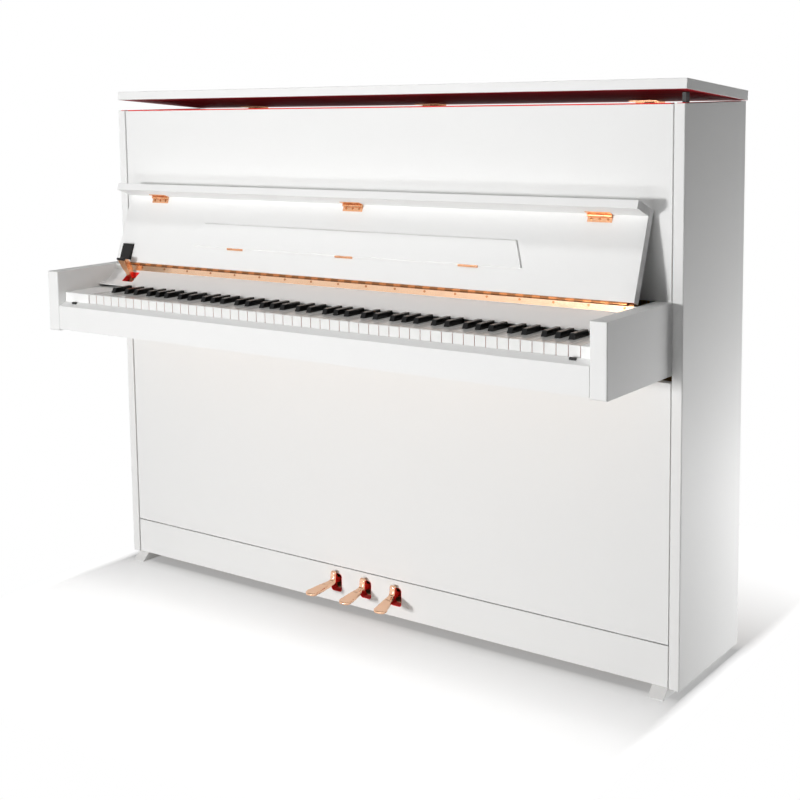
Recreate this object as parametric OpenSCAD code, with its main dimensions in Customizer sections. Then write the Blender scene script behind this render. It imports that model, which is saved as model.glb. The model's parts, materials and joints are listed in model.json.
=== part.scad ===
// Upright piano, white lacquer, with the fallboard open and the lid propped.
// Millimetres. +Z up, the front faces -Y, the treble end is at +X.
// The origin is the middle of the footprint's bounding box, on the floor.

/* [Case] */
// Outer width over the two side panels
case_width = 1436; // [1425:1:1450]
// Depth of the side panels
case_depth = 286; // [280:1:300]
// Thickness of the side panels
side_thick = 21; // [18:1:22]
// Height of the side panels' top edge
side_top = 1102; // [1095:1:1120]
// Height of the side panels' bottom edge
side_bottom = 16; // [14:1:20]
// Thickness of the front panels
panel_thick = 20; // [16:1:22]
// Dark groove between the sides and the front panels
groove = 2.4; // [1.5:0.1:3.5]
// Height of the bottom rail's top edge
rail_top = 98.5; // [90:0.5:100]
// Height of the lower panel's top edge
lower_top = 595.5; // [580:0.5:600]

/* [Arms and keybed] */
// Reach of the arms in front of the side panels
arm_reach = 257; // [255:1:262]
// Thickness of an arm
arm_thick = 33; // [28:1:34]
// Height of the arms' underside
arm_bottom = 610; // [604:0.5:611]
// Height of the arms' top face
arm_top = 744.5; // [742:0.5:745]
// Height of the keyslip's front edge
slip_front_top = 667.3; // [660:0.1:668]
// Height of the keyslip's rear edge, just below the key fronts
slip_rear_top = 675.5; // [670:0.1:676]

/* [Keyboard] */
// Width of the block between the left arm and the first key
bass_block = 78.6; // [78:0.1:84]
// Width of the block between the last key and the right arm
treble_block = 27.4; // [24:0.1:30]
// Height of the white keys' tops
key_top = 696.2; // [694:0.1:698]
// How far the black keys stand above the white ones
black_rise = 10.6; // [9:0.1:12]
// Gap between two neighbouring keys
key_gap = 1; // [0.8:0.1:1.2]

/* [Fallboard] */
// Length of the fallboard from its hinge to its far edge
board_length = 180; // [176:0.5:181]
// Thickness of the fallboard
board_thick = 18; // [15:0.5:18.5]
// Reach of the lip
lip_reach = 49.5; // [44:0.5:50]
// Thickness of the lip
lip_thick = 16; // [14:0.5:16.5]
// How far the open fallboard leans back
board_lean = 20.6; // [20.6:0.1:22]
// Height of the folding music desk
desk_height = 57; // [45:1:60]

/* [Lid] */
// Thickness of the lid
lid_thick = 19; // [16:0.5:22]
// Overhang of the lid over the sides and the rear
lid_over = 2; // [1:0.5:3]
// Angle by which the propped lid stands open
lid_open = 4.9; // [4.5:0.1:5]
// Thickness of the red felt strips
felt = 1.0; // [0.6:0.1:1.2]

/* [Pedals] */
// Distance between two pedals
pedal_pitch = 79.6; // [76:0.1:82]
// Sideways offset of the middle pedal from the case's middle
pedal_shift = -3.4; // [-5:0.1:0]
// Width of a pedal slot
slot_width = 30; // [29:0.5:32]
// Width of a pedal's toe
toe_width = 29; // [26:0.5:32]

/* [Fits] */
// Gap between pieces that move past each other
clear = 0.3; // [0.3:0.05:0.5]
// Radial clearance of a pin in its bore
run_fit = 0.05; // [0.03:0.01:0.1]

/* [Hidden] */
$fn = 48;

half = case_width / 2;
inner = half - side_thick;            // inside face of a side panel
arm_in = inner - arm_thick;           // inside face of an arm
panel_half = inner - groove;          // half width of the front panels
panel_y = 2;                          // the panels stand this far behind the sides' front edges
panel_back = panel_y + panel_thick;
dowel_x = panel_half - 94.6;           // dowels that hold the lower panel on the bottom rail

// lid: pivot at the rear edge, seen from the right-hand side
lid_under = side_top + felt + clear;
lid_pivot = [case_depth, side_top - 4.5];
lid_rear_rise = lid_under + lid_thick - lid_pivot[1];
y_rear = case_depth + lid_over * cos(lid_open) + lid_rear_rise * sin(lid_open);
y_mid = (y_rear - arm_reach) / 2;

// fallboard: pivot and the two directions of the open board
fall_pivot = [-79.4, arm_top + 3.4];
fs = [sin(board_lean), cos(board_lean)];     // along the board, upwards
fn = [-cos(board_lean), sin(board_lean)];    // out of its front face
fall_half = arm_in - 4;
strip_right = fall_half - 1;
knuckle_r = 3.2;
leaf = 1.2;
board_start = knuckle_r + 0.4;
name_low = arm_top - 37.5;             // the nameboard's lower edge, over the keys
slot_left = -arm_in + 49;              // slot the soft-close arm passes through
slot_wide = 34;
desk_start = 50;
desk_thick = 4;
desk_bottom_half = fall_half - 238;
desk_top_half = desk_bottom_half - 21;
strip_left = -arm_in + 52;
strip_pitch = 17.5;
strip_count = floor((strip_right - strip_left) / strip_pitch);

// keyboard
white_count = 52;
key_left = -arm_in + bass_block;
key_right = arm_in - treble_block;
key_pitch = (key_right - key_left) / white_count;    // 23.5 at the standard width
key_front = -235;
key_under = 675;
key_back = 92;
black_front = -188;
black_back = -133.5;
black_width = 11.2;
stick_top = 692;
balance_y = -15;
bead_r = 8;
capstan_y = 84;

// pedals
pedal_axis = [50, 66];
slot_low = 41.7;
slot_high = 83;
rod_y = 118;
rod_r = 6;
tail_top = 72;
function pedal_x(k) = k * pedal_pitch + pedal_shift;

// inside
bed_low = 613;
bed_high = 640;
string_y = 150;
plate_y = 156;
board_y = 186;
post_y = 212;
hammer_axis = [84, 800];
block_low = side_top - 122;            // underside of the pin block and of the top rail
pin_low = side_top - 102;
board_low = 130;
board_top = side_top - 152;
note_pitch = (key_right - key_left) / 88;

function note_x(i) = key_left + (i + 0.5) * note_pitch;
// the black keys' places in the octave, counted from A
black_slot = [1, 4, 6, 9, 11];
black_after = [1, 3, 4, 6, 7];           // white keys to the left of each black key, from A
black_shift = [3.9, -2.9, 2.9, -3.9, 0];
function black_x(o, k) = key_left + (o * 7 + black_after[k]) * key_pitch + black_shift[k];
function is_cut(o, k) = o * 12 + black_slot[k] < 88 && o * 12 + black_slot[k] >= 0;

// ---------------------------------------------------------------- helpers
module place() { translate([0, -y_mid, 0]) children(); }
// a (y, z) outline drawn out along x
module along_x(x0, x1) { translate([x0, 0, 0]) rotate([90, 0, 90]) linear_extrude(x1 - x0) children(); }
// an (x, z) outline drawn out along y
module along_y(y0, y1) { translate([0, y1, 0]) rotate([90, 0, 0]) linear_extrude(y1 - y0) children(); }
module box(x0, x1, y0, y1, z0, z1) { translate([x0, y0, z0]) cube([x1 - x0, y1 - y0, z1 - z0]); }
// a rod along x
module rod_x(x0, x1, y, z, r) { translate([x0, y, z]) rotate([0, 90, 0]) cylinder(r = r, h = x1 - x0); }
// rectangle with cut corners
module cut_square(w, h, c) {
  polygon([[c, 0], [w - c, 0], [w, c], [w, h - c], [w - c, h], [c, h], [0, h - c], [0, c]]);
}
// rectangle with round corners
module round_square(w, h, r) {
  translate([r, 0]) square([w - 2 * r, h]);
  translate([0, r]) square([w, h - 2 * r]);
  for (x = [r, w - r], y = [r, h - r]) translate([x, y]) circle(r);
}
module both_sides() { children(); mirror([1, 0, 0]) children(); }
// the open fallboard's own frame: x stays, the outline is drawn in (n, s) = (out of the face, along it)
module on_board(x0, x1) {
  translate([0, fall_pivot[0], fall_pivot[1]])
    rotate([-board_lean, 0, 0]) along_x(x0, x1) children();
}
// board outline helper: s up the board, n out of its front face (towards -y)
module sn(s0, s1, n0, n1) { translate([-n1, s0]) square([n1 - n0, s1 - s0]); }
module sn_cut(s0, s1, n0, n1, c) { translate([-n1, s0]) cut_square(n1 - n0, s1 - s0, c); }
// knuckle tubes in turn: every second one belongs to the other leaf
module knuckles(x0, x1, pitch, odd) {
  for (i = [odd : 2 : floor((x1 - x0) / pitch) - 1])
    along_x(x0 + i * pitch + 0.15, x0 + (i + 1) * pitch - 0.15) circle(knuckle_r);
}

// room in a leaf for the other leaf's knuckles
module knuckle_gaps(odd) {
  for (i = [odd : 2 : strip_count])
    along_x(strip_left + i * strip_pitch - 0.15, strip_left + (i + 1) * strip_pitch + 0.15)
      circle(knuckle_r + 0.4);
}

// ---------------------------------------------------------------- case
module side(x0) {
  place() translate([x0, 0, side_bottom]) linear_extrude(side_top - side_bottom)
    cut_square(side_thick, case_depth, 1.5);
}
module side_left() { color("white") side(-half); }
module side_right() { color("white") side(inner); }

module arm(x0) {
  r = 3;
  place() translate([x0, 0, 0]) intersection() {
    translate([0, -arm_reach, 0]) linear_extrude(arm_top) round_square(arm_thick, arm_reach + 110, r);
    along_x(0, arm_thick)
      polygon([[-arm_reach, arm_bottom + 2], [-arm_reach + 2, arm_bottom], [100, arm_bottom],
        [100, arm_top], [-arm_reach + 1, arm_top], [-arm_reach, arm_top - 1]]);
  }
}
module arm_left() { color("white") arm(-inner); }
module arm_right() { color("white") arm(arm_in); }

module keybed() {
  color("burlywood") place() difference() {
    box(-arm_in, arm_in, -236, 130, bed_low, bed_high);
    for (k = [-1, 0, 1]) translate([pedal_x(k), rod_y, bed_low - 1]) cylinder(r = rod_r + 1, h = 40);
  }
}
module keyslip() {
  color("white") place() along_x(-arm_in + 0.6, arm_in - 0.6)
    polygon([[-256, bed_low], [-256, slip_front_top - 0.8], [-255.2, slip_front_top],
      [-236.6, slip_rear_top], [-236, slip_rear_top], [-236, bed_low]]);
}
slip_slope = (slip_rear_top - slip_front_top) / 18.6;
module keyslip_bumpers() {
  color("black") place() both_sides() along_x(arm_in - 44.5, arm_in - 31.5)
    polygon([[-245.5, slip_front_top + 9.7 * slip_slope], [-245.5, 675.4], [-244.5, 676.4],
      [-241, 676.4], [-240, 675.6], [-240, slip_front_top + 15.2 * slip_slope]]);
}
module key_blocks() {
  color("white") place() {
    for (s = [[-arm_in, key_left - 1], [key_right + 1, arm_in]])
      along_x(s[0], s[1]) polygon([[-236, bed_high], [-236, key_top - 1], [-235, key_top],
        [-56, key_top], [-56, bed_high]]);
  }
}

module bottom_rail() {
  color("white") place() {
    difference() {
      box(-panel_half, panel_half, panel_y, panel_back, side_bottom + 2, rail_top);
      for (k = [-1, 0, 1]) translate([pedal_x(k) - slot_width / 2, 0, slot_low])
        along_y(-1, panel_back + 1) round_square(slot_width, slot_high - slot_low, 7);
    }
    for (s = [-1, 1]) translate([s * dowel_x, panel_y + panel_thick / 2, rail_top - 1]) {
      cylinder(r = 5, h = 1 + groove);
      cylinder(r = 3, h = 12);
    }
  }
}
module lower_panel() {
  color("white") place() difference() {
    box(-panel_half, panel_half, panel_y, panel_back, rail_top + groove, lower_top);
    for (s = [-1, 1]) translate([s * dowel_x, panel_y + panel_thick / 2, rail_top])
      cylinder(r = 3 + clear, h = 13);
  }
}
module upper_panel() {
  color("white") place() box(-panel_half, panel_half, panel_y, panel_back, arm_top, side_top - felt);
}
module nameboard() {
  color("white") place() difference() {
    along_x(-arm_in, arm_in)
      polygon([[-76.2, arm_top + 0.1], [-76.2, name_low + 24.5], [-106, name_low + 2.5],
        [-130.2, name_low - 2.8], [-131, name_low - 3.6], [-131, name_low - 4.5],
        [-108, name_low - 4.5], [-88.3, name_low], [-66, name_low + 17.2], [-60, name_low + 17.2],
        [-60, arm_top - 6]]);
    box(slot_left, slot_left + slot_wide, -106, -79, name_low - 17, name_low + 33);
  }
}
module bottom_board() {
  color("burlywood") place() {
    box(-inner, inner, panel_back, 200, 24, 44);
  }
}
module feet() {
  color("white") place() both_sides() along_x(inner - 32, inner) polygon([[1, side_bottom + 2],
    [-1, side_bottom + 2], [-21, 1.5], [-20, 0], [case_depth - 6, 0], [case_depth - 6, 24], [25, 24],
    [25, side_bottom + 2]]);
}

// ---------------------------------------------------------------- back and strung frame
module back_frame() {
  color("tan") place() {
    box(-inner, inner, post_y, case_depth, block_low, side_top - 12);
    box(-inner, inner, post_y, case_depth, 24, 110);
    for (k = [-2 : 2]) translate([k * (inner - 57) / 2, 0, 0])
      box(-35, 35, post_y, case_depth - 2, 110, block_low);
  }
}
board_half = inner - 37;
module soundboard() {
  color("wheat") place() box(-board_half, board_half, board_y, board_y + 8, board_low, board_top);
}
// height of the lowest end of a string at x
function string_foot(x) = x < -0.3587 * inner ? 200 : 346 + 391.5 * x / inner;
bays = [for (b = [[-0.861, -0.373], [-0.344, 0.172], [0.201, 0.567], [0.617, 0.918]]) b * inner];
module bridges_and_ribs() {
  color("peru") place() {
    // long bridge in three lengths and bass bridge, on the front of the board
    for (b = [bays[1], bays[2], bays[3]]) {
      z0 = string_foot(b[0]) + 70;
      z1 = string_foot(b[1]) + 70;
      along_y(151, board_y)
        polygon([[b[0] + 6, z0], [b[1] - 6, z1], [b[1] - 6, z1 + 32], [b[0] + 6, z0 + 32]]);
    }
    box(bays[0][0] + 6, bays[0][1] - 6, 152.2, board_y, 300, 332);
    // ribs on its rear
    rib = (board_top - board_low - 155) / 7;
    for (i = [0 : 7]) translate([0, 0, board_low + 50 + rib * i])
      box(5 - board_half, board_half - 5, board_y + 8, post_y, 0, 20);
  }
}
module iron_plate() {
  color("darkgoldenrod") place() difference() {
    box(17 - inner, inner - 17, plate_y, plate_y + 10, 44, side_top - 20);
    for (b = bays) along_y(plate_y - 1, plate_y + 11)
      polygon([[b[0], string_foot(b[0]) + 45], [b[1], string_foot(b[1]) + 45],
        [b[1], board_top - 10], [b[0], board_top - 10]]);
  }
}
module pin_block() {
  color("sienna") place() box(7 - inner, inner - 7, plate_y + 10, post_y, block_low, side_top - 16);
}
module tuning_pins() {
  color("silver") place() for (i = [0 : 87])
    translate([note_x(i), plate_y, pin_low + 22 * (i % 3)]) rotate([90, 0, 0])
      cylinder(r = 3.4, h = 26, $fn = 12);
}
function string_low(i) = string_foot(note_x(i));
module strings() {
  color("silver") place() for (i = [0 : 87]) {
    r = i < 25 ? 1.9 - 0.03 * i : 0.8;
    x = note_x(i) + 3.4 + r;
    translate([x, string_y, string_low(i)])
      cylinder(r = r, h = pin_low + 2 + 22 * (i % 3) - string_low(i), $fn = 12);
    translate([x, plate_y, string_low(i)]) rotate([90, 0, 0]) cylinder(r = 2.5, h = 9, $fn = 12);
  }
}

// ---------------------------------------------------------------- action
brackets = [0, 29, 58, 88];
function bracket_x(j) = key_left + brackets[j] * note_pitch;
module action_frame() {
  color("silver") place() {
    for (j = [0 : 3]) difference() {
      along_x(bracket_x(j) - 1.7, bracket_x(j) + 1.7) polygon([[96, bed_high], [111, bed_high],
        [111, 755], [125.5, 762], [125.5, 780], [111, 790], [111, 850], [124, 930], [135.5, 955],
        [135.5, 985], [110, 985], [60, 930], [40, 780], [40, 712], [96, 712]]);
      rod_x(bracket_x(j) - 3, bracket_x(j) + 3, hammer_axis[0], hammer_axis[1], 7);
    }
    // rail the hammer butts stand on
    for (j = [0 : 2]) box(bracket_x(j) + 1.7, bracket_x(j + 1) - 1.7, 60, 90, 770, 793.7);
  }
}
module hammer(x) {
  along_x(x - 4, x + 4) {
    translate(hammer_axis) circle(6);
    polygon([[78, 800], [90, 800], [88, 814], [86.5, 820], [81.5, 820], [80, 814]]);
  }
  translate([x, 84, 818]) cylinder(r = 2.7, h = 100, $fn = 8);
  along_x(x - 4.6, x + 4.6)
    polygon([[70, 914], [88, 912], [98, 916], [104, 923], [98, 930], [88, 934], [70, 932]]);
}
module hammer_row() {
  color("ivory") place() {
    for (i = [0 : 87]) hammer(note_x(i));
    // hammer rail the shanks rest against, in three lengths
    for (j = [0 : 2]) box(bracket_x(j) + 3, bracket_x(j + 1) - 3, 66, 81.1, 870, 890);
  }
}
module muffler_rail() {
  color("silver") place() {
    box(key_left + 20, key_right - 12, 136, 140, 960, 985);
    box(key_left + 20, key_right - 12, 140, 144, 955, 985);
  }
}
module damper_row() {
  color("ivory") place() {
    for (i = [0 : 66]) {
      x = note_x(i) + 4;
      box(x - 5, x + 5, 128, 147, 852, 882);
      translate([x, 132, 776]) cylinder(r = 1.6, h = 78, $fn = 8);
    }
    box(key_left + 5, note_x(66) + 12, 126, 138, 771, 778);
    rod_x(key_left + 5, note_x(66) + 12, 132, 771, 6);
  }
}
module key_frame() {
  color("burlywood") place() {
    box(key_left + 1.4, key_right - 2.6, -222, -194, bed_high, 658);
    box(key_left + 1.4, key_right - 2.6, balance_y - 18, balance_y + 18, bed_high, 664);
    box(key_left + 1.4, key_right - 2.6, 40, 80, bed_high, 671);
    for (x = [-0.69, 0, 0.69] * inner) {
      box(x - 20, x + 20, -194, balance_y - 18, bed_high, 652);
      box(x - 20, x + 20, balance_y + 18, 40, bed_high, 652);
    }
  }
}
module red_felts() {
  color("red") place() {
    // strips the lid closes on
    both_sides() box(inner + 3, half - 3, 6, case_depth - 18, side_top, side_top + felt);
    box(-panel_half + 6, panel_half - 6, panel_y + 2, panel_back - 2, side_top - felt, side_top + felt);
    // pedal slot linings
    for (k = [-1, 0, 1]) translate([pedal_x(k) - slot_width / 2, 0, slot_low])
      along_y(panel_y + 0.5, panel_back) difference() {
        round_square(slot_width, slot_high - slot_low, 7);
        translate([1.2, 1.2]) round_square(slot_width - 2.4, slot_high - slot_low - 2.4, 5.8);
      }
    // lining of the slot the soft-close arm passes through
    difference() {
      box(slot_left, slot_left + slot_wide, -106, -79, name_low - 2, name_low + 21);
      box(slot_left + 1, slot_left + slot_wide - 1, -105, -80, name_low - 3, name_low + 22);
      along_x(slot_left - 1, slot_left + slot_wide + 1) {
        polygon([[-76.2, name_low + 23.7], [-106, name_low + 1.7], [-107, name_low + 1.7],
          [-107, name_low + 33], [-76.2, name_low + 33]]);
        polygon([[-88.3, name_low + 0.6], [-66, name_low + 17.8], [-66, name_low - 7],
          [-88.3, name_low - 7]]);
      }
    }
    // cloth under the keys: front rail, balance bead and back rail
    box(key_left + 1.4, key_right - 2.6, -220, -196, 658, key_under - 10);
    intersection() {
      rod_x(key_left + 1.4, key_right - 2.6, balance_y, key_under - clear - bead_r, bead_r);
      box(key_left + 1.4, key_right - 2.6, balance_y - 9, balance_y + 9, 664, key_under);
    }
    box(key_left + 1.4, key_right - 2.6, 42, 78, 671, key_under - clear);
  }
}

// ---------------------------------------------------------------- keys
module key_side_white() {
  polygon([[key_front, key_under], [key_front, key_top - 1], [key_front + 1, key_top], [-100, key_top],
    [-97, stick_top], [capstan_y - 2.5, stick_top], [capstan_y - 2.5, stick_top + 9],
    [capstan_y + 2.5, stick_top + 9], [capstan_y + 2.5, stick_top], [key_back, stick_top],
    [key_back, key_under]]);
}
// white key number w, counted from the bass, cut back for its black neighbours
module white_key(w) {
  x0 = key_left + w * key_pitch + key_gap / 2;
  x1 = x0 + key_pitch - key_gap;
  cut = black_width / 2 + key_gap;
  difference() {
    along_x(x0, x1) key_side_white();
    for (o = [floor((w - 1) / 7) : floor((w + 1) / 7)], k = [0 : 4])
      if (is_cut(o, k) && abs(black_x(o, k) - (x0 + x1) / 2) < key_pitch)
        box(black_x(o, k) - cut, black_x(o, k) + cut, black_front - 1.5, key_back + 1, key_under - 1,
          stick_top + 12);
  }
}
module black_key(o, k) {
  h = key_top + black_rise;
  b = black_width / 2;
  translate([black_x(o, k), 0, 0]) {
    along_x(-b, b) polygon([[black_front + 1, key_under], [black_front + 1, key_top - 3],
      [black_back, key_top - 3], [-92, stick_top], [capstan_y - 2.5, stick_top],
      [capstan_y - 2.5, stick_top + 9], [capstan_y + 2.5, stick_top + 9], [capstan_y + 2.5, stick_top],
      [key_back, stick_top], [key_back, key_under]]);
    intersection() {
      along_x(-b, b) polygon([[black_front, key_top - 3], [black_front, key_top - 1],
        [black_front + 5, h - 1.5], [black_front + 6.5, h - 0.4], [black_front + 8.5, h],
        [black_back, h], [black_back, key_top - 3]]);
      along_y(black_front - 1, black_back + 1) polygon([[-b, key_top - 4], [-b, key_top],
        [-b + 0.7, h - 1.2], [-b + 0.9, h - 0.5], [-b + 1.4, h], [b - 1.4, h], [b - 0.9, h - 0.5],
        [b - 0.7, h - 1.2], [b, key_top], [b, key_top - 4]]);
    }
  }
}
first_single = 23;       // the white key C4
last_single = 27;        // the white key G4
function single_black(o, k) = o == 3 && k >= 1 && k <= 3;
module white_keys() {
  color("white") place() for (w = [0 : white_count - 1])
    if (w < first_single || w > last_single) white_key(w);
}
module black_keys() {
  color("black") place() for (o = [0 : 7], k = [0 : 4])
    if (is_cut(o, k) && !single_black(o, k)) black_key(o, k);
}
module key_c4() { color("white") place() white_key(23); }
module key_d4() { color("white") place() white_key(24); }
module key_e4() { color("white") place() white_key(25); }
module key_f4() { color("white") place() white_key(26); }
module key_g4() { color("white") place() white_key(27); }
module key_c_sharp4() { color("black") place() black_key(3, 1); }
module key_d_sharp4() { color("black") place() black_key(3, 2); }
module key_f_sharp4() { color("black") place() black_key(3, 3); }

// ---------------------------------------------------------------- fallboard, lip and desk
lip_low = board_length - lip_thick;
lip_axis = [lip_low - knuckle_r, knuckle_r];            // (s, n)
desk_knuckle_r = 1.6;
desk_axis = [desk_start + 0.2, desk_knuckle_r + clear];
lip_hinge_x = [100 - fall_half, 0, fall_half - 94];
desk_hinge_x = [-0.709, 0.004, 0.72] * desk_bottom_half;
module fallboard() {
  color("white") place() on_board(-fall_half, fall_half)
    sn_cut(board_start, board_length, -board_thick, 0, 0.8);
}
module fallboard_lip() {
  color("white") place() on_board(-fall_half, fall_half)
    sn_cut(lip_low, board_length, clear, lip_reach, 0.8);
}
module music_desk() {
  color("white") place() translate([0, fall_pivot[0], fall_pivot[1]]) rotate([-board_lean, 0, 0])
    intersection() {
      along_y(-desk_thick - clear, -clear) polygon([[-desk_bottom_half, desk_start + 2],
        [desk_bottom_half, desk_start + 2], [desk_top_half, desk_start + desk_height],
        [-desk_top_half, desk_start + desk_height]]);
      along_x(-desk_bottom_half, desk_bottom_half)
        polygon([[-clear, desk_start + 2], [-clear, desk_start + desk_height],
          [-clear - 1, desk_start + desk_height], [-clear - desk_thick, desk_start + desk_height - 3],
          [-clear - desk_thick, desk_start + 3], [-clear - desk_thick + 1, desk_start + 2]]);
    }
}
module at_board(s, n) {
  translate([0, fall_pivot[0], fall_pivot[1]]) rotate([-board_lean, 0, 0]) translate([0, -n, s]) children();
}
module fallboard_hinge_leaves() {
  color("peru") place() {
    // continuous hinge: leaf under the board's edge and its knuckles
    difference() {
      on_board(strip_left, strip_right) sn(board_start - leaf, board_start, -board_thick + 1, -0.2);
      at_board(0, 0) knuckle_gaps(0);
    }
    at_board(0, 0) knuckles(strip_left, strip_right, strip_pitch, 1);
    // board leaves of the lip hinges
    for (x = lip_hinge_x) {
      difference() {
        on_board(x - 25, x + 25) sn(lip_axis[0] - 12, lip_axis[0] + 1, 0, leaf);
        at_board(lip_axis[0], lip_axis[1])
          for (i = [0, 2]) along_x(x - 25 + i * 16.6 - 0.15, x - 25 + (i + 1) * 16.6 + 0.4)
            circle(knuckle_r + 0.4);
      }
      at_board(lip_axis[0], lip_axis[1]) along_x(x - 25 + 16.75, x - 25 + 33.05) circle(knuckle_r);
    }
    // board leaves of the desk hinges
    for (x = desk_hinge_x) {
      difference() {
        on_board(x - 22.5, x + 22.5) sn(desk_axis[0] - 2.6, desk_axis[0] - 0.4, 0, leaf);
        at_board(desk_axis[0], desk_axis[1]) for (s = [-1, 1])
          along_x(x + s * 15.1 - 7.6, x + s * 15.1 + 7.6) circle(desk_knuckle_r + 0.4);
      }
      at_board(desk_axis[0], desk_axis[1]) along_x(x - 7.5, x + 7.5) circle(desk_knuckle_r);
      on_board(x - 7.5, x + 7.5) sn(desk_axis[0] - desk_knuckle_r, desk_axis[0], 0, leaf);
    }
  }
}
module lip_hinge_leaves() {
  color("peru") place() for (x = lip_hinge_x) {
    difference() {
      on_board(x - 25, x + 25) sn(lip_low - leaf, lip_low, lip_axis[1] - 1, lip_axis[1] + 14);
      at_board(lip_axis[0], lip_axis[1])
        along_x(x - 25 + 16.6 - 0.25, x - 25 + 33.2 + 0.25) circle(knuckle_r + 0.4);
    }
    at_board(lip_axis[0], lip_axis[1]) for (i = [0, 2])
      along_x(x - 25 + i * 16.6 + 0.15, x - 25 + (i + 1) * 16.6 - 0.15) circle(knuckle_r);
  }
}
module desk_hinge_leaves() {
  color("peru") place() for (x = desk_hinge_x) {
    at_board(desk_axis[0], desk_axis[1]) for (s = [-1, 1])
      along_x(x + s * 15 - 7.2, x + s * 15 + 7.2) circle(desk_knuckle_r);
    for (s = [-1, 1]) on_board(x + s * 15 - 7.2, x + s * 15 + 7.2)
      sn(desk_axis[0] + 0.8, desk_start + 2, desk_axis[1] - 0.6, desk_axis[1] + 0.6);
  }
}
module soft_close_pad() {
  color("black") place() on_board(-arm_in + 21, -arm_in + 51) sn_cut(board_start + 5, 46, 0, 7, 1);
}
arm_pivot = [-82, arm_top - 40.5];
link_x = slot_left + 3;                // left side of the soft-close arm
module soft_close_damper() {
  color("dimgray") place() {
    rod_x(-arm_in + 6, link_x - 3, arm_pivot[0], arm_pivot[1], 6);
    rod_x(link_x - 4, link_x + 15, arm_pivot[0], arm_pivot[1], 2.5);
    box(-arm_in + 6, link_x - 5, arm_pivot[0] - 5, arm_pivot[0] + 5, key_top, arm_pivot[1] - 2);
  }
}
module soft_close_arm() {
  color("peru") place() difference() {
    translate([0, arm_pivot[0], arm_pivot[1]]) union() {
      along_x(link_x, link_x + 14) circle(4.5);
      rotate([26.5, 0, 0]) {
        along_y(-1.5, 1.5) polygon([[link_x, 0], [link_x + 14, 0], [link_x + 14, 34],
          [link_x + 12, 65], [link_x - 9, 65], [link_x - 4, 36], [link_x, 29]]);
        along_x(link_x + 12, link_x + 14)
          polygon([[1, 8], [5, 14], [12, 30], [13, 48], [9, 59], [1, 63]]);
      }
    }
    rod_x(link_x - 3, link_x + 17, arm_pivot[0], arm_pivot[1], 2.5 + run_fit);
  }
}

// ---------------------------------------------------------------- fixed hinge leaves and screws
lid_hinge_x = [198 - half, 0, half - 198];
lid_knuckle = 4;
module lid_tube(x0, x1, r) { along_x(x0, x1) translate(lid_pivot) circle(r); }
module case_hinge_leaves() {
  color("peru") place() {
    // continuous hinge: leaf on the nameboard and its knuckles
    difference() {
      box(strip_left, strip_right, -76.2 - leaf, -76.2, arm_top - 12, fall_pivot[1]);
      translate([0, fall_pivot[0], fall_pivot[1]]) knuckle_gaps(1);
    }
    translate([0, fall_pivot[0], fall_pivot[1]]) knuckles(strip_left, strip_right, strip_pitch, 0);
    // lid hinges: leaf on the back frame's top rail
    for (x = lid_hinge_x) {
      difference() {
        box(x - 31, x + 31, case_depth - 34, lid_pivot[0], side_top - 12, side_top - 10);
        lid_tube(x - 31.5, x - 10.1, lid_knuckle + 0.4);
        lid_tube(x + 10.1, x + 31.5, lid_knuckle + 0.4);
      }
      difference() {
        union() {
          lid_tube(x - 10, x + 10, lid_knuckle);
          box(x - 10, x + 10, lid_pivot[0] - 3.5, lid_pivot[0], side_top - 12, lid_pivot[1]);
        }
      }
    }
  }
}
module lid_hinge_leaves() {
  color("peru") place() lid_turn() for (x = lid_hinge_x) {
    difference() {
      box(x - 31, x + 31, case_depth - 34, lid_pivot[0], lid_under - 2, lid_under);
      lid_tube(x - 10.3, x + 10.3, lid_knuckle + 0.4);
    }
    for (s = [-1, 1]) {
      lid_tube(x + s * 20.6 - 10.3, x + s * 20.6 + 10.3, lid_knuckle);
      box(x + s * 20.6 - 10.3, x + s * 20.6 + 10.3, lid_pivot[0] - 3.5, lid_pivot[0],
        lid_pivot[1], lid_under - 1);
    }
  }
}
// turns what is drawn with the lid closed up to its propped place
module lid_turn() {
  translate([0, lid_pivot[0], lid_pivot[1]]) rotate([-lid_open, 0, 0])
    translate([0, -lid_pivot[0], -lid_pivot[1]]) children();
}
module top_lid() {
  color("white") place() lid_turn() along_x(-half - lid_over, half + lid_over)
    polygon([[0, lid_under + 1], [1, lid_under], [case_depth + lid_over, lid_under],
      [case_depth + lid_over, lid_under + lid_thick], [1, lid_under + lid_thick],
      [0, lid_under + lid_thick - 1]]);
}
prop_axis = [66, side_top - 55];
// reach from the prop's axis to the lid's underside, square to it
prop_reach = (lid_under - lid_pivot[1]) + (lid_pivot[1] - prop_axis[1]) * cos(lid_open)
  + (lid_pivot[0] - prop_axis[0]) * sin(lid_open);
module lid_prop() {
  color("black") place() difference() {
    along_x(inner - 10, inner - 3) {
      intersection() {
        translate([58, prop_axis[1]]) square([16, 90]);
        translate(prop_axis) circle(prop_reach - clear, $fn = 180);
      }
      translate(prop_axis) circle(8);
    }
    rod_x(inner - 11, inner, prop_axis[0], prop_axis[1], 3 + run_fit);
  }
}
module case_screws() {
  color("peru") place() {
    // screws of the continuous hinge
    for (i = [0 : 17]) translate([strip_left + 37 + (strip_right - strip_left - 54.5) / 17 * i,
      -76.2 - leaf, arm_top - 4]) rotate([90, 0, 0]) cylinder(r = 2.4, h = 0.5, $fn = 16);
    // pivot screw of the lid prop
    rod_x(inner - 11, inner, prop_axis[0], prop_axis[1], 3);
    rod_x(inner - 12.5, inner - 10.4, prop_axis[0], prop_axis[1], 6);
  }
}

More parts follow.
